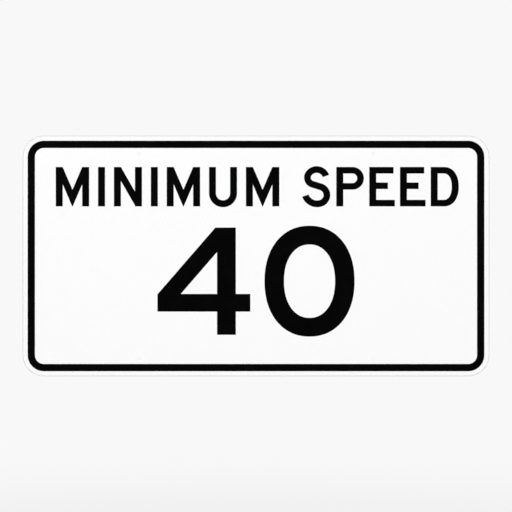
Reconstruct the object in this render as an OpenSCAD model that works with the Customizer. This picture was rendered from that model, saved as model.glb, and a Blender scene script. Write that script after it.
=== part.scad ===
// Minimum speed sign, 48 inches wide: a flat aluminium blank with rounded corners and four
// punched bolt holes, a white retroreflective facing laminated to its front, and a
// black border cut from overlay film. The face inside the border is left plain.
//
// The sign stands upright and faces -Y. The origin is the middle of its back face,
// in the plane that bears on the posts.

/* [Panel] */
// Width of the sign over its ends
panel_w = 1219.2; // [900:0.1:1500]
// Height of the sign
panel_h = 628; // [450:1:900]
// Radius of the four corners
corner_r = 55; // [40:0.5:80]
// Thickness of the aluminium sheet, 0.100 inch
sheet_t = 2.54; // [1.5:0.01:4]
// Edge broken after shearing, front and back
edge_break = 0.3; // [0.1:0.05:0.6]

/* [Facing] */
// Thickness of the white facing with its adhesive
facing_t = 0.4; // [0.2:0.05:0.8]
// How far the trimmed facing stops short of the flat front face's edge
facing_trim = 0.4; // [0.1:0.1:2]

/* [Border] */
// White margin between the border and the edge of the sign, 1/2 inch
border_margin = 12.7; // [6:0.1:16]
// Width of the black border, 3/4 inch
border_w = 19.05; // [10:0.05:23]
// Thickness of the black film with its adhesive
film_t = 0.1; // [0.05:0.01:0.3]

/* [Bolt holes] */
// Diameter of the punched holes, 3/8 inch
hole_d = 9.525; // [6:0.005:14]
// From the ends of the sign to the holes, 12 inches
hole_from_end = 304.8; // [150:0.1:400]
// From the top and bottom edges to the holes, which are then 21 inches apart
hole_from_edge = 47.3; // [30:0.1:120]

/* [Hidden] */

// The facing's edge, measured in from the edge of the sheet.
facing_inset = edge_break + facing_trim;

// The smallest radius that a corner keeps.
least_r = 1;

// What stays of the corner radius after the outline has moved in by a distance.
function inner_r(moved_in) = max(corner_r - moved_in, least_r);

// Faceting of round edges in the preview; it has no effect on the true solids.
$fn = 96;

// Lays a shape drawn in the sign's own plane, and raised towards its reader, against
// a plane at a given distance in front of the back face.
module in_front(distance) {
    translate([0, -distance, 0])
        rotate([90, 0, 0])
            children();
}

// The sign's outline, moved in by a distance that keeps its corners concentric.
module outline(moved_in = 0) {
    w = panel_w - 2 * moved_in;
    h = panel_h - 2 * moved_in;
    r = inner_r(moved_in);
    square([w - 2 * r, h], center = true);
    square([w, h - 2 * r], center = true);
    for (x = [-1, 1], y = [-1, 1])
        translate([x * (w / 2 - r), y * (h / 2 - r)])
            circle(r);
}

// The places of the four bolt holes.
module at_holes() {
    for (x = [-1, 1], y = [-1, 1])
        translate([x * (panel_w / 2 - hole_from_end), y * (panel_h / 2 - hole_from_edge)])
            children();
}

// The broken edge of the sheet at a given reach from the middle, from back to front.
function edge_points(reach) = [
    [reach - edge_break, 0],
    [reach, edge_break],
    [reach, sheet_t - edge_break],
    [reach - edge_break, sheet_t]
];

// The same edge on the far side, from front to back.
function far_edge_points(reach) = [
    for (i = [3:-1:0]) let (p = edge_points(reach)[i]) [-p.x, p.y]
];

// A straight length of the sheet, as broad as the span, with both its edges broken.
module sheet_band(span, length) {
    rotate([90, 0, 0])
        linear_extrude(length, center = true)
            polygon(concat(edge_points(span / 2), far_edge_points(span / 2)));
}

// A disc of the sheet with the same broken edge all round, a quarter of which shows
// as a corner.
module corner_disc() {
    rotate_extrude()
        polygon(concat([[0, 0]], edge_points(corner_r), [[0, sheet_t]]));
}

// The sheet before punching: two crossed bands, with a disc in each corner. The bands and
// discs overlap, so they stay one solid at any size.
module plain_sheet() {
    field_w = panel_w - 2 * corner_r;
    field_h = panel_h - 2 * corner_r;
    sheet_band(panel_w, field_h);
    rotate([0, 0, 90])
        sheet_band(panel_h, field_w);
    for (x = [-1, 1], y = [-1, 1])
        translate([x * field_w / 2, y * field_h / 2, 0])
            corner_disc();
}

// The aluminium blank, sheared to size, with its corners rounded and its holes punched.
module sign_blank() {
    punch_over = 1;
    color("silver")
        in_front(0)
            difference() {
                plain_sheet();
                at_holes()
                    translate([0, 0, -punch_over])
                        cylinder(d = hole_d, h = sheet_t + 2 * punch_over);
            }
}

// The retroreflective facing, one sheet trimmed just inside the broken edge and opened
// over each hole.
module white_facing() {
    color("white")
        in_front(sheet_t)
            linear_extrude(facing_t)
                difference() {
                    outline(facing_inset);
                    at_holes() circle(d = hole_d);
                }
}

// The border, one ring of black film concentric with the sign's corners.
module black_border() {
    color("#111111")
        in_front(sheet_t + facing_t)
            linear_extrude(film_t)
                difference() {
                    outline(border_margin);
                    outline(border_margin + border_w);
                    at_holes() circle(d = hole_d);
                }
}

sign_blank();
white_facing();
black_border();
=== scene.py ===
# %% [markdown]
# Minimum speed sign.
# The real sign is an aluminium sheet with a white retroreflective facing laminated to its
# front, and on that a black border and fourteen characters, all cut from overlay film.
# The sheet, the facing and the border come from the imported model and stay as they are, with
# better materials. This script cuts the characters, and makes the finishes, the light and
# the camera.

# %% The shared frame
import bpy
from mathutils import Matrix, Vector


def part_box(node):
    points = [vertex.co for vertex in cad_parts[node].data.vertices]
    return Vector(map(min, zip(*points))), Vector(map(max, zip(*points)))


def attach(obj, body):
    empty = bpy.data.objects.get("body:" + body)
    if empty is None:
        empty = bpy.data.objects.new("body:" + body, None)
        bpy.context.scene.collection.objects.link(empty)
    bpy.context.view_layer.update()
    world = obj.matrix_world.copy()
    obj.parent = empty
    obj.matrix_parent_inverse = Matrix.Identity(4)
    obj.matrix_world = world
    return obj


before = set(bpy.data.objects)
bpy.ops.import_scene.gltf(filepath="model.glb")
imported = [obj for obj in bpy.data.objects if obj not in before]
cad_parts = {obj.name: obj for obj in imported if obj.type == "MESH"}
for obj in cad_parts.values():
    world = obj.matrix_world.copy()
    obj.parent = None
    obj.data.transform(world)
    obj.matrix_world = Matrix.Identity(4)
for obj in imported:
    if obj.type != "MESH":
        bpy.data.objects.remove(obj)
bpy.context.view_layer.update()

# %% [markdown]
# Everything is in metres, so small sizes are written with a unit behind them. The film's
# place is measured on the border, which is cut from the same film: its back lies on the
# facing and its front is a tenth of a millimetre nearer the reader, towards -Y.

# %% Units, and where the film lies
from math import atan2, copysign, cos, pi, radians, sin, sqrt
import bmesh
import bpy
from mathutils import Vector

MM = 0.001
INCH = 25.4 * MM

border_low, border_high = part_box("black_border")
film_back = border_high.y
film_thickness = border_high.y - border_low.y
print(f"the film lies at y = {film_back / MM:.2f} mm and is {film_thickness / MM:.2f} mm thick")

# %% [markdown]
# Every finish is a tree of shader nodes. Building one by hand is the same three moves again
# and again: add a node, set its options, and feed its inputs with numbers or with other
# nodes. One helper does all three, for any kind of node, so that each finish below reads
# as a list of what it is made of. Colours are picked as sRGB hex codes, which is how a
# screen shows them, and turned to the linear values that a shader works with.

# %% The node helper and the colours
def linear_colour(code):
    """Turns an sRGB hex code into linear red, green, blue and alpha."""
    channels = [int(code[place:place + 2], 16) / 255 for place in (1, 3, 5)]
    linear = [c / 12.92 if c <= 0.04045 else ((c + 0.055) / 1.055) ** 2.4 for c in channels]
    return (*linear, 1.0)


def add_node(tree, kind, feeds=None, **options):
    """Adds a node, sets its options, and feeds its inputs with values, sockets or nodes."""
    made = tree.nodes.new(kind)
    for option, value in options.items():
        setattr(made, option, value)
    inputs = {socket.identifier: socket for socket in made.inputs}
    for name, feed in (feeds or {}).items():
        if isinstance(feed, bpy.types.Node):
            feed = next(socket for socket in feed.outputs if socket.enabled)
        if isinstance(feed, bpy.types.NodeSocket):
            tree.links.new(feed, inputs[name])
        else:
            inputs[name].default_value = feed
    return made


def start_material(name):
    """Makes an empty material, and returns it with its tree and its object coordinates."""
    material = bpy.data.materials.new(name)
    material.use_nodes = True
    material.node_tree.nodes.clear()
    place = add_node(material.node_tree, "ShaderNodeTexCoord").outputs["Object"]
    return material, material.node_tree, place


pure_white = linear_colour("#ffffff")
print("white in linear light:", pure_white)

# %% [markdown]
# The facing is prismatic retroreflective sheeting: a clear, glossy plastic film with rows
# of tiny moulded prisms behind it, heat-sealed to its white backing along a lattice of
# diamonds. By day it is a bright white with a satin gloss, and the seal lines show as a
# faint net from close by. The real diamonds are some 5 mm wide and their lines 0.5 mm, too
# fine to show here, so the net is drawn nearly three times as coarse. It could be grooves
# in the mesh, but they would be thousands of tiny faces on a sheet that is flat. A Voronoi
# texture with no randomness is a plain square lattice, and costs no faces. A Mapping node
# scales first and turns next: here it scales the place until a diamond is as wide as high,
# and turns it by 45 degrees onto the lattice.

# %% The net of seal lines
diamond_width = 14 * MM
diamond_height = 22 * MM
seal_width = 0.1  # as a part of the lattice's spacing


def seal_net(tree, place):
    """Gives 1 on the seal lines and 0 elsewhere, and a random shade for each diamond."""
    onto_lattice = add_node(tree, "ShaderNodeMapping", {
        "Vector": place,
        "Rotation": (radians(90), 0, radians(45)),
        "Scale": (sqrt(2) / diamond_width, 1, sqrt(2) / diamond_height),
    })
    lattice = {"Vector": onto_lattice, "Scale": 1, "Randomness": 0}
    to_line = add_node(
        tree, "ShaderNodeTexVoronoi", lattice, feature="DISTANCE_TO_EDGE", voronoi_dimensions="2D")
    diamond = add_node(tree, "ShaderNodeTexVoronoi", lattice, feature="F1", voronoi_dimensions="2D")
    seal = add_node(tree, "ShaderNodeMapRange", {
        "Value": to_line, "From Min": seal_width / 2, "From Max": seal_width, "To Min": 1, "To Max": 0,
    }, interpolation_type="SMOOTHSTEP")
    shade = add_node(tree, "ShaderNodeSeparateColor", {"Color": diamond.outputs["Color"]})
    return seal, shade


print(f"the net has diamonds of {diamond_width / MM:.0f} by {diamond_height / MM:.0f} mm")

# %% [markdown]
# The film bends light a little differently over each diamond, so each one has a faint
# shade of its own, and over the whole sheet the white drifts slowly. Where the film was
# pressed to its backing it lies a little deeper, and is a touch greyer and less glossy.
# Such plastics have an index of refraction of 1.49.

# %% The white sheeting
white_drift = 260 * MM


def white_prismatic_sheeting():
    """Clear glossy plastic over white, with a faint diamond net of seal lines."""
    material, tree, place = start_material("white_prismatic_sheeting")
    seal, shade = seal_net(tree, place)
    drift = add_node(tree, "ShaderNodeTexNoise", {
        "Vector": place, "Scale": 1 / white_drift, "Detail": 2,
    })
    diamonds = add_node(tree, "ShaderNodeMix", {
        "Factor_Float": shade,
        "A_Color": linear_colour("#f5f5f4"), "B_Color": linear_colour("#f7f7f6"),
    }, data_type="RGBA")
    drifted = add_node(tree, "ShaderNodeMix", {
        "Factor_Float": drift, "A_Color": diamonds, "B_Color": linear_colour("#f5f5f6"),
    }, data_type="RGBA")
    sealed = add_node(tree, "ShaderNodeMix", {
        "Factor_Float": seal, "A_Color": drifted, "B_Color": linear_colour("#f0f0f0"),
    }, data_type="RGBA")
    roughness = add_node(tree, "ShaderNodeMapRange", {"Value": seal, "To Min": 0.22, "To Max": 0.3})
    sunk_lines = add_node(tree, "ShaderNodeBump", {
        "Height": seal, "Strength": 0.25, "Distance": 0.05 * MM,
    }, invert=True)
    surface = add_node(tree, "ShaderNodeBsdfPrincipled", {
        "Base Color": sealed, "Roughness": roughness, "Normal": sunk_lines, "IOR": 1.49,
    })
    add_node(tree, "ShaderNodeOutputMaterial", {"Surface": surface})
    return material


white_sheeting = white_prismatic_sheeting()
print("finish:", white_sheeting.name)

# %% [markdown]
# The border and the characters are cast overlay film, a coloured plastic with an adhesive
# back that is rolled down on the facing. It is opaque and nearly black, with a semi-gloss
# skin. Rolled film is never quite flat: it has a slight orange peel, which breaks up what
# it reflects. The real peel is 2 or 3 mm from crest to crest, and is drawn at 9 mm so that
# it shows. Noise gives the peel, and a slower noise shifts the gloss a little from place to
# place, as handling and squeegeeing do. Such film has an index of refraction of 1.49, and a
# little less here keeps the black as deep as the drawing's.

# %% The black film
peel_size = 9 * MM
gloss_patch = 70 * MM


def cast_black_film():
    """Opaque black film with a semi-gloss, slightly uneven skin."""
    material, tree, place = start_material("cast_black_film")
    peel = add_node(tree, "ShaderNodeTexNoise", {
        "Vector": place, "Scale": 1 / peel_size, "Detail": 2, "Roughness": 0.4,
    })
    patch = add_node(tree, "ShaderNodeTexNoise", {
        "Vector": place, "Scale": 1 / gloss_patch, "Detail": 3, "Roughness": 0.55,
    })
    colour = add_node(tree, "ShaderNodeMix", {
        "Factor_Float": patch,
        "A_Color": linear_colour("#010102"), "B_Color": linear_colour("#030304"),
    }, data_type="RGBA")
    roughness = add_node(tree, "ShaderNodeMapRange", {
        "Value": patch, "From Min": 0.3, "From Max": 0.7, "To Min": 0.22, "To Max": 0.3,
    })
    skin = add_node(tree, "ShaderNodeBump", {
        "Height": peel, "Strength": 0.3, "Distance": 0.08 * MM,
    })
    surface = add_node(tree, "ShaderNodeBsdfPrincipled", {
        "Base Color": colour, "Roughness": roughness, "Normal": skin, "IOR": 1.46,
    })
    add_node(tree, "ShaderNodeOutputMaterial", {"Surface": surface})
    return material


black_film = cast_black_film()
print("finish:", black_film.name)

# %% [markdown]
# The blank is rolled aluminium sheet as the mill leaves it. Rolling draws its skin out
# into a fine grain along the sheet, and into broader bands of slightly different shine.
# Both are noise, drawn out along X. The real grain is much finer than a millimetre, and is
# drawn as 2 mm streaks so that it shows.

# %% Rolled streaks
grain_length = 160 * MM
grain_width = 2.2 * MM
band_length = 1280 * MM
band_width = 34 * MM


def streaks(tree, place, length, width, detail, roughness=0.5):
    """Noise in streaks of a given length along X and a given width."""
    drawn_out = add_node(tree, "ShaderNodeMapping", {
        "Vector": place, "Scale": (1 / length, 1 / width, 1 / width),
    })
    return add_node(tree, "ShaderNodeTexNoise", {
        "Vector": drawn_out, "Scale": 1, "Detail": detail, "Roughness": roughness,
    })


print(f"grain {grain_width / MM:.1f} mm wide, bands {band_width / MM:.0f} mm wide")

# %% [markdown]
# Stacking and handling leave a few long, shallow scuffs at odd angles, hair-fine on the
# real sheet and drawn 2 mm wide so that they show. They are streaks too, of which only the
# highest crests are kept. A Mapping node scales before it turns, so one alone would draw
# every streak out along X. Here a first one turns the place, and the streaks are then drawn
# out along the turned X.

# %% Scuffs
scuff_length = 130 * MM
scuff_width = 2 * MM
scuff_directions = (radians(24), radians(-57))


def scuffs_along(tree, place, direction):
    """Gives 1 on a few long scuffs in one direction, and 0 between them."""
    turned = add_node(tree, "ShaderNodeMapping", {"Vector": place, "Rotation": (0, direction, 0)})
    lines = streaks(tree, turned.outputs["Vector"], scuff_length, scuff_width, detail=1)
    return add_node(tree, "ShaderNodeMapRange", {"Value": lines, "From Min": 0.71, "From Max": 0.77})


print(f"scuffs up to {scuff_length / MM:.0f} mm long")

# %% [markdown]
# A thin conversion coat, which lets films stick, leaves the metal with a cloudy cast that
# is a little warm where the coat is thicker. Slow noise mixes the three tints.

# %% The conversion coat
coat_cloud = 90 * MM
warm_patch = 270 * MM


def coated_metal(tree, place):
    """The metal's colour as it shows through its clouded coat."""
    cloud = add_node(tree, "ShaderNodeTexNoise", {
        "Vector": place, "Scale": 1 / coat_cloud, "Detail": 4, "Roughness": 0.6, "Distortion": 0.4,
    })
    thickness = add_node(tree, "ShaderNodeTexNoise", {
        "Vector": place, "Scale": 1 / warm_patch, "Detail": 3,
    })
    warmth = add_node(tree, "ShaderNodeMapRange", {
        "Value": thickness, "From Min": 0.45, "From Max": 0.7,
    })
    clouded = add_node(tree, "ShaderNodeMix", {
        "Factor_Float": cloud,
        "A_Color": linear_colour("#d6d7d8"), "B_Color": linear_colour("#e4e5e6"),
    }, data_type="RGBA")
    return add_node(tree, "ShaderNodeMix", {
        "Factor_Float": warmth, "A_Color": clouded, "B_Color": linear_colour("#dedbd2"),
    }, data_type="RGBA")


print(f"coat clouds of {coat_cloud / MM:.0f} mm, warm patches of {warm_patch / MM:.0f} mm")

# %% [markdown]
# The rim was sheared and the holes were punched, so they have no rolled grain, but short
# marks through the sheet's thickness, along Y. The real marks are much finer, and are drawn
# 1.5 mm wide so that they show. The sheet is one mesh with one finish, so the rim is told
# from the two flat faces by its normals, which don't point along Y.

# %% The sheared rim
shear_mark_length = 20 * MM
shear_mark_width = 1.5 * MM


def sheared_rim(tree, place):
    """Gives 1 on the rim and in the holes and 0 on the flat faces, and the shear marks."""
    normal = add_node(tree, "ShaderNodeNewGeometry").outputs["Normal"]
    parts = add_node(tree, "ShaderNodeSeparateXYZ", {"Vector": normal})
    flatness = add_node(tree, "ShaderNodeMath", {"Value": parts.outputs["Y"]}, operation="ABSOLUTE")
    rim = add_node(tree, "ShaderNodeMapRange", {
        "Value": flatness, "From Min": 0.6, "From Max": 0.9, "To Min": 1, "To Max": 0,
    })
    through = add_node(tree, "ShaderNodeMapping", {
        "Vector": place, "Scale": (1 / shear_mark_width, 1 / shear_mark_length, 1 / shear_mark_width),
    })
    marks = add_node(tree, "ShaderNodeTexNoise", {"Vector": through, "Scale": 1, "Detail": 2})
    return rim, marks


print(f"shear marks {shear_mark_width / MM:.1f} mm wide")

# %% [markdown]
# The metal's own colour is a stack of layers, each mixed over the last where its mask says
# so: the coated metal, darker in the grain and bands, brighter where a scuff has cut
# through, and plain on the rim. Grain and bands come added up. Each is a noise of about a
# half, so their sum runs from about 0.7 to 1.3.

# %% The metal's colour
rolled_range = {"From Min": 0.7, "From Max": 1.3}


def metal_colour(tree, place, rolled, rim):
    """The coated metal with its grain and scuffs, and the plain colour of the rim."""
    streaked = add_node(tree, "ShaderNodeMapRange", {
        "Value": rolled, **rolled_range, "To Min": 0, "To Max": 0.6,
    })
    grained = add_node(tree, "ShaderNodeMix", {
        "Factor_Float": streaked,
        "A_Color": coated_metal(tree, place), "B_Color": linear_colour("#bcbdc0"),
    }, data_type="RGBA")
    scuffs = add_node(tree, "ShaderNodeMath", {
        "Value": scuffs_along(tree, place, scuff_directions[0]),
        "Value_001": scuffs_along(tree, place, scuff_directions[1]),
    }, operation="MAXIMUM")
    scuffed = add_node(tree, "ShaderNodeMix", {
        "Factor_Float": scuffs, "A_Color": grained, "B_Color": linear_colour("#eff0f1"),
    }, data_type="RGBA")
    return add_node(tree, "ShaderNodeMix", {
        "Factor_Float": rim, "A_Color": scuffed, "B_Color": linear_colour("#cfd0d1"),
    }, data_type="RGBA")


print("scuffs at", [round(direction * 180 / pi) for direction in scuff_directions], "degrees")

# %% [markdown]
# All of it comes together in one bare metal. The grain and bands that colour it also set
# how rough it is, which spreads each reflection in streaks. The grain stands up a little on
# the flat faces, and the shear marks on the rim. A metal keeps the shader's own index of
# refraction, because its colour does that work.

# %% The aluminium
def mill_finish_aluminium():
    """Rolled sheet with grain along X, a cloudy coat, faint scuffs and a dull sheared rim."""
    material, tree, place = start_material("mill_finish_aluminium")
    grain = streaks(tree, place, grain_length, grain_width, detail=3, roughness=0.6)
    bands = streaks(tree, place, band_length, band_width, detail=2)
    rolled = add_node(tree, "ShaderNodeMath", {"Value": grain, "Value_001": bands}, operation="ADD")
    rim, marks = sheared_rim(tree, place)
    rolled_roughness = add_node(tree, "ShaderNodeMapRange", {
        "Value": rolled, **rolled_range, "To Min": 0.28, "To Max": 0.44,
    })
    roughness = add_node(tree, "ShaderNodeMix", {
        "Factor_Float": rim, "A_Float": rolled_roughness, "B_Float": 0.5,
    }, data_type="FLOAT")
    height = add_node(tree, "ShaderNodeMix", {
        "Factor_Float": rim, "A_Float": grain, "B_Float": marks,
    }, data_type="FLOAT")
    relief = add_node(tree, "ShaderNodeBump", {
        "Height": height, "Strength": 0.35, "Distance": 0.06 * MM,
    })
    surface = add_node(tree, "ShaderNodeBsdfPrincipled", {
        "Base Color": metal_colour(tree, place, rolled, rim), "Metallic": 1,
        "Roughness": roughness, "Normal": relief,
    })
    add_node(tree, "ShaderNodeOutputMaterial", {"Surface": surface})
    return material


aluminium = mill_finish_aluminium()
print("finish:", aluminium.name)

# %% [markdown]
# The three CAD nodes already have the right shape, so they only change material. Each
# node's object keeps its mesh and its place, and gets the new finish in every slot it has.

# %% Finishes on the sheet, the facing and the border
node_finish = {
    "sign_blank": aluminium,
    "white_facing": white_sheeting,
    "black_border": black_film,
}
for name, finish in node_finish.items():
    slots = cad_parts[name].material_slots
    for slot in slots:
        slot.material = finish
    print(name, "is now", finish.name, "in", len(slots), "slot")

# %% [markdown]
# The characters are cut film too. A plotter's knife cuts their outline, the waste is weeded
# away, and the character is rolled down on the facing. A text object would be quicker, but
# would bring the shapes of its font, and road signs have an alphabet of their own. So they
# are modelled, and in the same way as they are cut: each one flat at the left end of its
# own line, then given the film's thickness, and only then copied to its place.
#
# The letters are four inches high and the digits eleven, but every edge is set half a
# millimetre further out than that gives: a render mixes black and white at an edge as
# light, which makes a stroke look thinner than it does in the drawing.

# %% Sizes of the lettering
letter_height = 103 * MM
letter_stem = 18.3 * MM
letter_arm = 17.1 * MM
letter_overshoot = 2.2 * MM  # how far a round letter passes the line, to look as high
digit_height = 280.4 * MM

letter_line = 129.7 * MM  # the height above the sign's middle that the letters stand at
digit_line = -206 * MM  # and the same for the digits
knife_radius = 0.6 * MM  # a trailing knife rounds every corner a little
print(f"letters {letter_height / INCH:.2f} in high, digits {digit_height / INCH:.2f} in high")

# %% [markdown]
# Straight-sided characters are cut and weeded as the film is. A plane primitive is the
# piece of film, as wide and high as the character, and bisect cuts it right across along
# every guide line. The knife tool would follow each outline, but it needs a window.

# %% Laying and cutting the film
def lay_film(name, width, height):
    """Adds a flat rectangle of film with its lower left corner at the start of the line."""
    bpy.ops.object.select_all(action="DESELECT")
    bpy.ops.mesh.primitive_plane_add(
        size=1, location=(width / 2, film_back, height / 2), rotation=(radians(90), 0, 0))
    film = bpy.context.object
    film.name = name
    film.scale = (width, height, 1)
    bpy.ops.object.transform_apply(location=True, rotation=True, scale=True)
    bpy.ops.object.mode_set(mode="EDIT")
    return film


def cut_line(x, z, slope_x, slope_z):
    """Cuts the film along a line through (x, z) in the direction (slope_x, slope_z)."""
    bpy.ops.mesh.select_all(action="SELECT")
    bpy.ops.mesh.bisect(plane_co=(x, film_back, z), plane_no=(slope_z, 0, -slope_x))


def cut_upright(x):
    """Cuts the film from top to bottom."""
    cut_line(x, 0, 0, 1)


def cut_level(z):
    """Cuts the film from side to side."""
    cut_line(0, z, 1, 0)


print(f"film is laid flat at y = {film_back / MM:.2f} mm")

# %% [markdown]
# A small test tells waste from letter by the middle of each face, and the waste is deleted,
# which is much like picking it out with tweezers. Limited dissolve then removes the cuts
# that are left inside the letter.

# %% Weeding
def weed(film, is_letter):
    """Deletes the faces whose middle isn't in the letter, and the cuts left inside it."""
    bpy.ops.mesh.select_mode(type="FACE")
    bpy.ops.mesh.select_all(action="DESELECT")
    cuts = bmesh.from_edit_mesh(film.data)
    for face in cuts.faces:
        middle = face.calc_center_median()
        face.select_set(not is_letter(middle.x, middle.z))
    bmesh.update_edit_mesh(film.data)
    bpy.ops.mesh.delete(type="FACE")
    bpy.ops.mesh.select_all(action="SELECT")
    bpy.ops.mesh.dissolve_limited(angle_limit=radians(1))


print("waste is told by the middle of each face")

# %% [markdown]
# A knife that trails round a corner can't leave it quite sharp. The same corners in the
# mesh are those where exactly two edges meet at a sharp turn, and a vertex bevel rounds
# them.

# %% Rounding the corners
sharp_turn = radians(30)


def round_corners(film):
    """Rounds the outline's sharp corners, where two edges meet and nothing else."""
    bpy.ops.mesh.select_mode(type="VERT")
    bpy.ops.mesh.select_all(action="DESELECT")
    outline = bmesh.from_edit_mesh(film.data)
    for vertex in outline.verts:
        if len(vertex.link_edges) != 2:
            continue
        to_next, to_last = (edge.other_vert(vertex).co - vertex.co for edge in vertex.link_edges)
        vertex.select_set(pi - to_next.angle(to_last) > sharp_turn)
    bmesh.update_edit_mesh(film.data)
    bpy.ops.mesh.bevel(affect="VERTICES", offset=knife_radius, offset_type="OFFSET", segments=3)


print(f"the knife leaves corners of {knife_radius / MM:.1f} mm radius")

# %% [markdown]
# Each cut-out is thickened by extruding it, and extrude lists the side faces that it makes
# in an order that changes from run to run. The shape is the same, but the order of its faces
# isn't. So the mesh is filled again with its own corners and faces, each face told from its
# lowest corner on, and the faces sorted. Then every run gives the same list of faces.

# %% Putting the faces in order
def put_faces_in_order(mesh):
    """Lists the same faces by the numbers of their corners."""
    corners = [corner.co.copy() for corner in mesh.vertices]
    faces = []
    for face in mesh.polygons:
        around = list(face.vertices)
        lowest = around.index(min(around))
        faces.append(around[lowest:] + around[:lowest])
    mesh.clear_geometry()
    mesh.from_pydata(corners, [], sorted(faces))


print("faces are sorted by the numbers of their corners")

# %% [markdown]
# Last, the whole face is extruded by the film's thickness towards the reader. The first
# face stays behind as the back, so the solid is closed. A Solidify modifier would do as
# well, but extruding is exact and leaves nothing to apply. The normals are recalculated,
# and a count of the open edges proves that the solid is closed.

# %% Thickening and closing a cut-out
def thicken(film):
    """Gives the flat cut-out the film's thickness, and says whether it came out closed."""
    bpy.ops.mesh.select_all(action="SELECT")
    bpy.ops.mesh.extrude_region_move(TRANSFORM_OT_translate={"value": (0, -film_thickness, 0)})
    bpy.ops.mesh.select_all(action="SELECT")
    bpy.ops.mesh.normals_make_consistent(inside=False)
    solid = bmesh.from_edit_mesh(film.data)
    open_edges = sum(not edge.is_manifold for edge in solid.edges)
    corners = len(solid.verts)
    bpy.ops.object.mode_set(mode="OBJECT")
    put_faces_in_order(film.data)
    bpy.ops.object.shade_smooth_by_angle(angle=sharp_turn)
    film.data.materials.append(black_film)
    width, height = film.dimensions.x / MM, film.dimensions.z / MM
    print(f"{film.name}: {width:.1f} by {height:.1f} mm, {corners} corners, {open_edges} open edges")


print("film thickness", round(film_thickness / MM, 3), "mm")

# %% [markdown]
# The simplest letter is a bare stem, a strip of film that needs no cuts.

# %% The letter I
cut_i = lay_film("cut_i", letter_stem, letter_height)
round_corners(cut_i)
thicken(cut_i)

# %% [markdown]
# The letter E is a stem with three arms. Its arms aren't alike: the bottom one is the
# longest, the middle one the shortest and set a little above the middle, which keeps the
# letter from looking top-heavy.

# %% The letter E
e_width = 67 * MM
e_top_arm = 63.5 * MM
e_middle_arm = 48.8 * MM
e_middle_height = 53.9 * MM
e_middle_low = e_middle_height - letter_arm / 2
e_middle_high = e_middle_height + letter_arm / 2
e_top_low = letter_height - letter_arm

cut_e = lay_film("cut_e", e_width, letter_height)
for x in (letter_stem, e_top_arm, e_middle_arm):
    cut_upright(x)
for z in (letter_arm, e_middle_low, e_middle_high, e_top_low):
    cut_level(z)


def in_letter_e(x, z):
    """Whether a point is in the stem or in one of the arms."""
    if x < letter_stem or z < letter_arm:
        return True
    if z > e_top_low:
        return x < e_top_arm
    return e_middle_low < z < e_middle_high and x < e_middle_arm


weed(cut_e, in_letter_e)
round_corners(cut_e)
thicken(cut_e)

# %% [markdown]
# M and N have slanting strokes. A slanting stroke's upper edge starts at the top of the
# letter, at the first stem's inner side. Its lower edge reaches the line just inside the
# far stem in the N, and just short of the middle in the M. With the stroke's width t, the
# letter's height h, the start a and the reach r, the slope s (across for each step down)
# follows from s h = (r - a) + t sqrt(1 + s s), which is a quadratic with one useful root.

# %% The slope and the cuts of a slanting stroke
def slant_between(start, reach, stroke):
    """The slope of a stroke from its upper edge's start to its lower edge's reach."""
    run = reach - start
    root = sqrt(letter_height ** 2 + run ** 2 - stroke ** 2)
    return (run * letter_height + stroke * root) / (letter_height ** 2 - stroke ** 2)


def cut_slant(slant, start, stroke, hand=1):
    """Cuts both edges of a stroke that slants down from the start, to the right or left."""
    breadth = stroke * sqrt(1 + slant ** 2)
    for top in (start, start - hand * breadth):
        cut_line(top, letter_height, hand * slant, -1)


def in_slant(slant, start, stroke, x, z):
    """Whether a point is in the stroke that slants down to the right from the start."""
    upper_edge = start + slant * (letter_height - z)
    breadth = stroke * sqrt(1 + slant ** 2)
    return upper_edge - breadth < x < upper_edge


print(f"slanting strokes start {letter_stem / MM:.1f} mm from the letter's side")

# %% [markdown]
# The M is symmetrical, so one test of the distance from its nearer side does for both
# halves. Its slanting strokes are a little thinner than its stems, to keep its middle from
# closing up, and stop just short of the middle, so that it ends in a small flat.

# %% The letter M
m_width = 87.4 * MM
m_stroke = 18 * MM
m_half_flat = 0.8 * MM
m_reach = m_width / 2 - m_half_flat
m_slant = slant_between(letter_stem, m_reach, m_stroke)
cut_m = lay_film("cut_m", m_width, letter_height)
for x in (letter_stem, m_width / 2, m_width - letter_stem):
    cut_upright(x)
cut_slant(m_slant, letter_stem, m_stroke)
cut_slant(m_slant, m_width - letter_stem, m_stroke, hand=-1)


def in_letter_m(x, z):
    """Whether a point is in a stem or in a slanting stroke."""
    from_side = min(x, m_width - x)
    return from_side < letter_stem or in_slant(m_slant, letter_stem, m_stroke, from_side, z)


weed(cut_m, in_letter_m)
round_corners(cut_m)
thicken(cut_m)
print(f"the strokes of the M go {m_slant:.4f} across for each step down")

# %% [markdown]
# The N's slanting stroke is as broad as its stems, and its lower edge runs a little way
# into the second stem before it reaches the line, which keeps that corner solid.

# %% The letter N
n_width = 73.3 * MM
n_run_in = 1.3 * MM
n_reach = n_width - letter_stem + n_run_in
n_slant = slant_between(letter_stem, n_reach, letter_stem)
cut_n = lay_film("cut_n", n_width, letter_height)
for x in (letter_stem, n_width - letter_stem):
    cut_upright(x)
cut_slant(n_slant, letter_stem, letter_stem)


def in_letter_n(x, z):
    """Whether a point is in a stem or in the slanting stroke."""
    in_stems = x < letter_stem or x > n_width - letter_stem
    return in_stems or in_slant(n_slant, letter_stem, letter_stem, x, z)


weed(cut_n, in_letter_n)
round_corners(cut_n)
thicken(cut_n)
print(f"the stroke of the N goes {n_slant:.4f} across for each step down")

# %% [markdown]
# The digit 4 is cut in the same way at its own scale: a stem, a crossbar and a slanting
# stroke between them, which leaves a small triangle of white. The slanting stroke's breadth
# is measured level, along the top.

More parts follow.
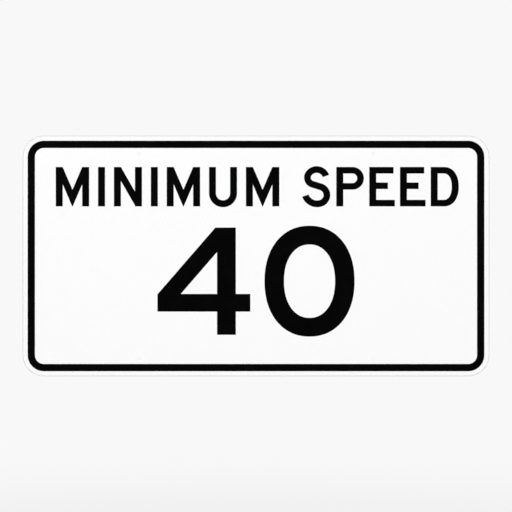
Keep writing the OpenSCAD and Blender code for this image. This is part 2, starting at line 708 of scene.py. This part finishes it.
# %% The digit 4
four_width = 242.8 * MM
four_stem_left = 155.8 * MM
four_stem_right = 204.9 * MM
four_bar_low = 60.6 * MM
four_bar_high = 106.8 * MM
four_top_left = 151.3 * MM
four_slant = 0.8675
four_slant_breadth = 60.3 * MM

cut_four = lay_film("cut_four", four_width, digit_height)
cut_upright(four_stem_left)
cut_upright(four_stem_right)
cut_level(four_bar_low)
cut_level(four_bar_high)
for start in (four_top_left, four_top_left + four_slant_breadth):
    cut_line(start, digit_height, -four_slant, -1)


def in_digit_four(x, z):
    """Whether a point is in the crossbar, the stem or the slanting stroke."""
    outer_edge = four_top_left - four_slant * (digit_height - z)
    if four_bar_low < z < four_bar_high:
        return True
    if four_stem_left < x < four_stem_right:
        return True
    in_stroke = outer_edge < x < outer_edge + four_slant_breadth
    return in_stroke and z > four_bar_high and x < four_stem_right


weed(cut_four, in_digit_four)
round_corners(cut_four)
thicken(cut_four)

# %% [markdown]
# U and S are one stroke of even width, so they are drawn as with a broad square pen. They
# could be filled in between two outlines, but a moving pen keeps the stroke even in every
# bend without any sums. One edge of a plane, laid across the stroke, is the pen. Its place
# and heading are kept as plain numbers.

# %% A broad pen
def put_pen(name, width, x, z, heading):
    """Starts a stroke: keeps one edge of a new plane and lays it across the heading."""
    bpy.ops.object.select_all(action="DESELECT")
    bpy.ops.mesh.primitive_plane_add(size=width)
    film = bpy.context.object
    film.name = name
    bpy.ops.object.mode_set(mode="EDIT")
    bpy.ops.mesh.select_mode(type="VERT")
    bpy.ops.mesh.select_all(action="DESELECT")
    nib = bmesh.from_edit_mesh(film.data)
    for vertex in nib.verts:
        vertex.select_set(vertex.co.y > 0)
    bmesh.update_edit_mesh(film.data)
    bpy.ops.mesh.delete(type="VERT")
    bpy.ops.mesh.select_all(action="SELECT")
    nib = bmesh.from_edit_mesh(film.data)
    for vertex in nib.verts:
        side = vertex.co.x
        vertex.co = (x - side * sin(heading), film_back, z + side * cos(heading))
    bmesh.update_edit_mesh(film.data)
    return film, {"x": x, "z": z, "heading": heading}


print("the pen's edge is laid on the facing, square to its heading")

# %% [markdown]
# Extruding the pen's edge draws a straight length, and spinning it about a centre draws a
# curve. What is drawn last stays selected, so the next move goes on from there. The spin's
# axis points away from the reader, which makes a positive turn one to the left.

# %% Straight and bent strokes
steps_per_turn = 120


def draw_straight(pen, length):
    """Draws ahead, and moves the pen's place on by the length."""
    step = Vector((length * cos(pen["heading"]), 0, length * sin(pen["heading"])))
    bpy.ops.mesh.extrude_region_move(TRANSFORM_OT_translate={"value": step})
    pen["x"] += step.x
    pen["z"] += step.z


def draw_bend(pen, radius, turn):
    """Swings the pen round a centre on the side it turns to; a turn to the left is positive."""
    left = pen["heading"] + copysign(pi / 2, turn)
    centre_x = pen["x"] + radius * cos(left)
    centre_z = pen["z"] + radius * sin(left)
    bpy.ops.mesh.spin(
        steps=max(2, round(abs(turn) / (2 * pi) * steps_per_turn)),
        angle=turn, center=(centre_x, film_back, centre_z), axis=(0, 1, 0))
    pen["heading"] += turn
    outwards = left + turn + pi
    pen["x"] = centre_x + radius * cos(outwards)
    pen["z"] = centre_z + radius * sin(outwards)


print("bends have", steps_per_turn, "steps for a full turn")

# %% [markdown]
# The U is two straight stems and half a ring. Its bend goes a little below the line, so
# that it looks as tall as its neighbours.

# %% The letter U
u_width = 73.2 * MM
u_stroke = 18.1 * MM
u_bend = (u_width - u_stroke) / 2
u_side = letter_height + letter_overshoot - u_width / 2
cut_u, pen = put_pen("cut_u", u_stroke, u_stroke / 2, letter_height, radians(-90))
draw_straight(pen, u_side)
draw_bend(pen, u_bend, pi)
draw_straight(pen, u_side)
round_corners(cut_u)
thicken(cut_u)

# %% [markdown]
# The S is four bends and a short straight spine: a wide bend and a tight one round the top,
# then the spine, then a tight bend and a wide one the other way round the bottom, where
# both are wider because the letter stands on them. Each bend has a radius and a turn.

# %% The letter S
s_stroke = 17.7 * MM
s_top_wide, s_top_wide_turn = 25.8 * MM, radians(120.7)
s_top_tight, s_top_tight_turn = 18.3 * MM, radians(112.4)
s_spine = 22.8 * MM
s_bottom_tight, s_bottom_tight_turn = 22.5 * MM, radians(-145.2)
s_bottom_wide, s_bottom_wide_turn = 32.6 * MM, radians(-88.4)
s_start = radians(20)  # where the stroke starts, seen from the first bend's centre
s_centre_x = 38 * MM
s_centre_z = letter_height + letter_overshoot - s_top_wide - s_stroke / 2
cut_s, pen = put_pen(
    "cut_s", s_stroke, s_centre_x + s_top_wide * cos(s_start),
    s_centre_z + s_top_wide * sin(s_start), s_start + pi / 2)
draw_bend(pen, s_top_wide, s_top_wide_turn)
draw_bend(pen, s_top_tight, s_top_tight_turn)
draw_straight(pen, s_spine)
draw_bend(pen, s_bottom_tight, s_bottom_tight_turn)
draw_bend(pen, s_bottom_wide, s_bottom_wide_turn)
round_corners(cut_s)
thicken(cut_s)

# %% [markdown]
# The digit 0 and the bowls of P and D are thicker at the sides than at the top, so a pen of
# one width can't draw them. Their outline is a superellipse, an ellipse with fuller
# shoulders, and the white within is another one. A point at the angle a lies at (cos a)
# across and (sin a) up, each to the power of 2 / n, where n is the fullness: 2 for a plain
# ellipse, and more for fuller shoulders.

# %% The superellipse
plain_ellipse = 2


def superellipse_point(angle, half_width, half_height, fullness):
    """The curve's point at an angle, measured from the curve's centre."""
    across = copysign(abs(cos(angle)) ** (2 / fullness), cos(angle))
    upwards = copysign(abs(sin(angle)) ** (2 / fullness), sin(angle))
    return half_width * across, half_height * upwards


for fullness in (plain_ellipse, 2.2):
    shoulder = superellipse_point(radians(45), 1, 1, fullness)[0]
    print(f"fullness {fullness}: the shoulder is at {shoulder:.3f} of the half width")

# %% [markdown]
# Both curves come from one circle primitive. Its ring of edges is extruded in place, which
# makes a second ring joined to the first by faces, and then each ring is moved to its own
# curve. For a bowl, the left half of the circle is deleted first.

# %% Rings and bowls
ring_steps = 128


def lay_ring(name, centre, outer, inner, half=False):
    """Makes a flat ring, or its right half, between two curves about one centre."""
    bpy.ops.object.select_all(action="DESELECT")
    bpy.ops.mesh.primitive_circle_add(vertices=ring_steps, radius=1, rotation=(radians(90), 0, 0))
    film = bpy.context.object
    film.name = name
    bpy.ops.object.transform_apply(location=True, rotation=True, scale=True)
    bpy.ops.object.mode_set(mode="EDIT")
    bpy.ops.mesh.select_mode(type="VERT")
    if half:
        bpy.ops.mesh.select_all(action="DESELECT")
        circle = bmesh.from_edit_mesh(film.data)
        for vertex in circle.verts:
            vertex.select_set(vertex.co.x < -pi / ring_steps)  # half a step left of the middle
        bmesh.update_edit_mesh(film.data)
        bpy.ops.mesh.delete(type="VERT")
        bpy.ops.mesh.select_all(action="SELECT")
    bpy.ops.mesh.extrude_region_move()
    rings = bmesh.from_edit_mesh(film.data)
    for vertex in rings.verts:
        curve = inner if vertex.select else outer
        x, z = superellipse_point(atan2(vertex.co.z, vertex.co.x), *curve)
        vertex.co = (centre[0] + x, film_back, centre[1] + z)
    bmesh.update_edit_mesh(film.data)
    return film


print("a ring has", ring_steps, "points on each curve")

# %% [markdown]
# The digit 0 is one such ring, and passes the line a little above and below, as every round
# character does.

# %% The digit 0
zero_half_width = 117.7 * MM
zero_half_height = 144.9 * MM
zero_counter_half_width = 66.7 * MM
zero_counter_half_height = 95.8 * MM
zero_fullness = 2.17
cut_zero = lay_ring(
    "cut_zero", (zero_half_width, digit_height / 2),
    outer=(zero_half_width, zero_half_height, zero_fullness),
    inner=(zero_counter_half_width, zero_counter_half_height, zero_fullness))
thicken(cut_zero)

# %% [markdown]
# P and D have a bowl on a stem. The bowl is the right half of a ring. Its two open ends
# are extruded to the left as the arms, up to the stem. The stem is a second plane in the
# same mesh, cut level with the arms so that its corners meet theirs and merge. A boolean
# union is meant for closed solids, and these pieces are still flat.

# %% Joining a stem to a bowl
hair = 0.01 * MM  # two places that are closer than this are the same


def add_arms_and_stem(film, centre_x, stem, arm_edges):
    """Extrudes the half ring's ends to the stem, and joins the stem to them."""
    bpy.ops.mesh.select_all(action="DESELECT")
    bowl = bmesh.from_edit_mesh(film.data)
    for vertex in bowl.verts:
        vertex.select_set(abs(vertex.co.x - centre_x) < hair)
    bowl.select_flush(True)
    bmesh.update_edit_mesh(film.data)
    bpy.ops.mesh.extrude_region_move(TRANSFORM_OT_translate={"value": (stem - centre_x, 0, 0)})
    bpy.ops.mesh.select_all(action="DESELECT")
    bpy.ops.mesh.primitive_plane_add(size=1, rotation=(radians(90), 0, 0))
    plane = bmesh.from_edit_mesh(film.data)
    for vertex in plane.verts:
        if vertex.select:
            x = stem if vertex.co.x > 0 else 0
            z = letter_height if vertex.co.z > 0 else 0
            vertex.co = (x, film_back, z)
    bmesh.update_edit_mesh(film.data)
    for z in arm_edges:
        bpy.ops.mesh.select_all(action="DESELECT")
        sheet = bmesh.from_edit_mesh(film.data)
        for vertex in sheet.verts:
            vertex.select_set(vertex.co.x < stem + hair)
        sheet.select_flush(True)
        bmesh.update_edit_mesh(film.data)
        bpy.ops.mesh.bisect(plane_co=(0, film_back, z), plane_no=(0, 0, 1))
    bpy.ops.mesh.select_all(action="SELECT")
    bpy.ops.mesh.remove_doubles(threshold=hair)


print(f"points within {hair / MM} mm of each other merge")

# %% [markdown]
# The P's bowl is nearly round and takes the upper part of the stem.

# %% The letter P
p_bowl_x = 42.6 * MM
p_bowl_radius = 29.6 * MM
p_bowl_z = letter_height - p_bowl_radius
p_counter_width = 11.9 * MM
p_counter_height = p_bowl_radius - letter_arm
cut_p = lay_ring(
    "cut_p", (p_bowl_x, p_bowl_z),
    outer=(p_bowl_radius, p_bowl_radius, plain_ellipse),
    inner=(p_counter_width, p_counter_height, plain_ellipse), half=True)
add_arms_and_stem(cut_p, p_bowl_x, letter_stem, [
    p_bowl_z - p_bowl_radius, p_bowl_z - p_counter_height, p_bowl_z + p_counter_height])
round_corners(cut_p)
thicken(cut_p)

# %% [markdown]
# The D's bowl is as high as the letter, with fuller shoulders than an ellipse has.

# %% The letter D
d_bowl_x = 34.7 * MM
d_bowl_width = 38.7 * MM
d_fullness = 2.2
d_counter_width = 20.3 * MM
d_counter_height = letter_height / 2 - letter_arm
cut_d = lay_ring(
    "cut_d", (d_bowl_x, letter_height / 2),
    outer=(d_bowl_width, letter_height / 2, d_fullness),
    inner=(d_counter_width, d_counter_height, d_fullness), half=True)
add_arms_and_stem(cut_d, d_bowl_x, letter_stem, [letter_arm, letter_height - letter_arm])
round_corners(cut_d)
thicken(cut_d)

# %% [markdown]
# Now the characters are set in two rows, as a sign maker spaces them: each one follows the
# last after a gap of its own. A cut-out is duplicated with a mesh of its own and moved
# there, and its place is applied to the mesh, so that the finished object sits at the
# origin. Then it rides on the sign's one body.

# %% Setting a row of characters
def set_row(row, row_start, line):
    """Sets copies of the cut-outs on a line, each one its own gap after the last."""
    left = row_start
    for name, cut_out, gap in row:
        left += gap
        bpy.ops.object.select_all(action="DESELECT")
        cut_out.select_set(True)
        bpy.context.view_layer.objects.active = cut_out
        bpy.ops.object.duplicate(linked=False)
        character = bpy.context.object
        character.name = name
        character.location = (left - cut_out.bound_box[0][0], 0, line)
        bpy.ops.object.transform_apply(location=True, rotation=False, scale=False)
        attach(character, "root")
        right = left + character.dimensions.x
        print(f"{name}: from {left / MM:.1f} to {right / MM:.1f} mm")
        left = right


print("each character rides on the body root")

# %% [markdown]
# The gap is wide between two upright sides and narrower beside a round or open one, so
# that the letters look evenly spaced. A gap of more than twice the usual width parts the
# words.

# %% The row of letters
letters_start = -523.5 * MM  # from the sign's middle
upright_gap = 23.2 * MM
round_gap = 15.7 * MM
bowl_gap = 14 * MM
open_gap = 13.3 * MM
word_gap = 59.8 * MM
set_row([
    ("letter_m_1", cut_m, 0),
    ("letter_i_1", cut_i, upright_gap),
    ("letter_n", cut_n, upright_gap),
    ("letter_i_2", cut_i, upright_gap),
    ("letter_m_2", cut_m, upright_gap),
    ("letter_u", cut_u, upright_gap),
    ("letter_m_3", cut_m, upright_gap),
    ("letter_s", cut_s, word_gap),
    ("letter_p", cut_p, round_gap),
    ("letter_e_1", cut_e, bowl_gap),
    ("letter_e_2", cut_e, open_gap),
    ("letter_d", cut_d, open_gap),
], letters_start, letter_line)

# %% [markdown]
# The row of digits is centred on the sign, so its start follows from its width.

# %% The row of digits
digit_gap = 37.1 * MM
digits_width = cut_four.dimensions.x + digit_gap + cut_zero.dimensions.x
set_row([
    ("digit_four", cut_four, 0),
    ("digit_zero", cut_zero, digit_gap),
], -digits_width / 2, digit_line)

# %% [markdown]
# The cut-outs have done their work. They still lie on top of each other at the start of
# the line, so they are removed, and only their copies stay.

# %% Clearing the bench
bench = [cut_i, cut_e, cut_m, cut_n, cut_u, cut_s, cut_p, cut_d, cut_four, cut_zero]
for cut_out in bench:
    bpy.data.objects.remove(cut_out)
print(len(bench), "cut-outs removed")

# %% [markdown]
# The studio has a pale floor well below the sign, which hangs where its bolts would hold
# it. A floor that ended would draw a horizon. This one is a disc of matt white paint that
# turns, from its middle to its rim, into a soft glow of the room's own tone, so that it
# melts into the room behind it.

# %% The floor
floor_drop = 1.1
floor_radius = 4.5
paint_radius = 1.0  # where the glow begins
room_tone = linear_colour("#f8f8f8")

bpy.ops.object.select_all(action="DESELECT")
bpy.ops.mesh.primitive_circle_add(
    vertices=96, radius=floor_radius, fill_type="NGON", location=(0, 0, -floor_drop))
floor = bpy.context.object
floor.name = "studio_floor"
floor_finish, tree, place = start_material("matt_white_floor")
from_middle = add_node(tree, "ShaderNodeVectorMath", {"Vector": place}, operation="LENGTH")
glow_share = add_node(tree, "ShaderNodeMapRange", {
    "Value": from_middle.outputs["Value"], "From Min": paint_radius, "From Max": floor_radius,
}, interpolation_type="SMOOTHERSTEP")
paint = add_node(tree, "ShaderNodeBsdfDiffuse", {"Color": linear_colour("#ececec")})
glow = add_node(tree, "ShaderNodeEmission", {"Color": room_tone, "Strength": 1})
melted = add_node(tree, "ShaderNodeMixShader", {"Fac": glow_share, "Shader": paint, "Shader_001": glow})
add_node(tree, "ShaderNodeOutputMaterial", {"Surface": melted})
floor.data.materials.append(floor_finish)
floor.visible_glossy = False
print("floor at z =", -floor_drop, "m")

# %% [markdown]
# Shiny things mirror the room that they are in, and a photographer hangs black cloth behind
# the camera so that black film stays black. Here the room is dim for mirrored rays on the
# camera's side, towards -Y, and bright behind the sign, where the bare metal needs
# something to mirror. That wall grows brighter with its height, so that the flat metal
# shows a soft gradient.

# %% What shiny things mirror
cloth_brightness = 0.01
wall_foot_brightness = 0.42
wall_top_brightness = 0.85

bpy.context.scene.view_settings.view_transform = "Standard"
world = bpy.data.worlds.new("studio_room")
bpy.context.scene.world = world
world.use_nodes = True
room = world.node_tree
room.nodes.clear()
look = add_node(room, "ShaderNodeTexCoord").outputs["Generated"]
look_parts = add_node(room, "ShaderNodeSeparateXYZ", {"Vector": look})
wall = add_node(room, "ShaderNodeMapRange", {
    "Value": look_parts.outputs["Z"], "From Min": -0.5, "From Max": 0.5,
    "To Min": wall_foot_brightness, "To Max": wall_top_brightness,
}, interpolation_type="SMOOTHSTEP")
mirrored = add_node(room, "ShaderNodeMapRange", {
    "Value": look_parts.outputs["Y"], "From Min": -0.4, "From Max": 0.5,
    "To Min": cloth_brightness, "To Max": wall,
}, interpolation_type="SMOOTHSTEP")
print(f"the wall goes from {wall_foot_brightness} at its foot to {wall_top_brightness} at its top")

# %% [markdown]
# To the eye the room is an even pale grey, and it lights the sign evenly from all round. The
# Light Path node tells what kind of ray has reached the room, and so which of its three
# looks is wanted: the one for the eye, the one for mirrored rays, or plain soft light.

# %% The room
room_light = 0.965
ray = add_node(room, "ShaderNodeLightPath")
unseen = add_node(room, "ShaderNodeMix", {
    "Factor_Float": ray.outputs["Is Glossy Ray"], "A_Float": room_light, "B_Float": mirrored,
}, data_type="FLOAT")
seen = add_node(room, "ShaderNodeBackground", {"Color": room_tone, "Strength": 1})
lighting = add_node(room, "ShaderNodeBackground", {"Color": pure_white, "Strength": unseen})
both = add_node(room, "ShaderNodeMixShader", {
    "Fac": ray.outputs["Is Camera Ray"], "Shader": lighting, "Shader_001": seen,
})
add_node(room, "ShaderNodeOutputWorld", {"Surface": both})
print("room tone", tuple(round(c, 3) for c in room_tone))

# %% [markdown]
# Three large area lights shape the sign: a main light from the upper left, a fill from the
# upper right, and one behind for the bare back. They stand far enough to the sides that
# the film doesn't mirror them into the camera.

# %% The lights
beam = radians(80)  # a honeycomb grid keeps the light on the sign and off the floor


def hang_light(name, location, size, watts):
    """Hangs a square area light and aims it at the sign's middle."""
    bpy.ops.object.light_add(type="AREA", location=location)
    lamp = bpy.context.object
    lamp.name = name
    lamp.data.size = size
    lamp.data.energy = watts
    lamp.data.spread = beam
    lamp.rotation_mode = "QUATERNION"
    lamp.rotation_quaternion = (-Vector(location)).to_track_quat("-Z", "Y")
    lamp.visible_camera = False
    print(name, "at", location, "m,", watts, "W")


hang_light("main_light", location=(-2.4, -2.6, 2.4), size=1.6, watts=7)
hang_light("fill_light", location=(2.8, -2.4, 1.8), size=1.8, watts=4)
hang_light("back_light", location=(2.6, 2.6, 0.3), size=1.8, watts=3.2)

# %% [markdown]
# The drawing shows the sign square on, so the camera stands level with the sign's middle
# and looks along +Y. A long lens far away keeps the edges from showing. Its distance
# follows from similar triangles: the sensor's width is to the lens as the width of the
# view at the face is to the distance. The view is 512 pixels wide, and the border's outer
# edge spans 456.7 of them.

# %% The camera
photo_width = 512
border_width_in_photo = 456.7
lens = 100 * MM
sensor_width = 36 * MM
border_width = border_high.x - border_low.x
view_width = border_width * photo_width / border_width_in_photo
camera_distance = lens * view_width / sensor_width

bpy.ops.object.camera_add(
    location=(0, border_low.y - camera_distance, 0), rotation=(radians(90), 0, 0))
camera = bpy.context.object
camera.data.lens = lens / MM
camera.data.sensor_width = sensor_width / MM
bpy.context.scene.camera = camera
print(f"camera {camera_distance:.3f} m from the face, view {view_width:.3f} m wide")
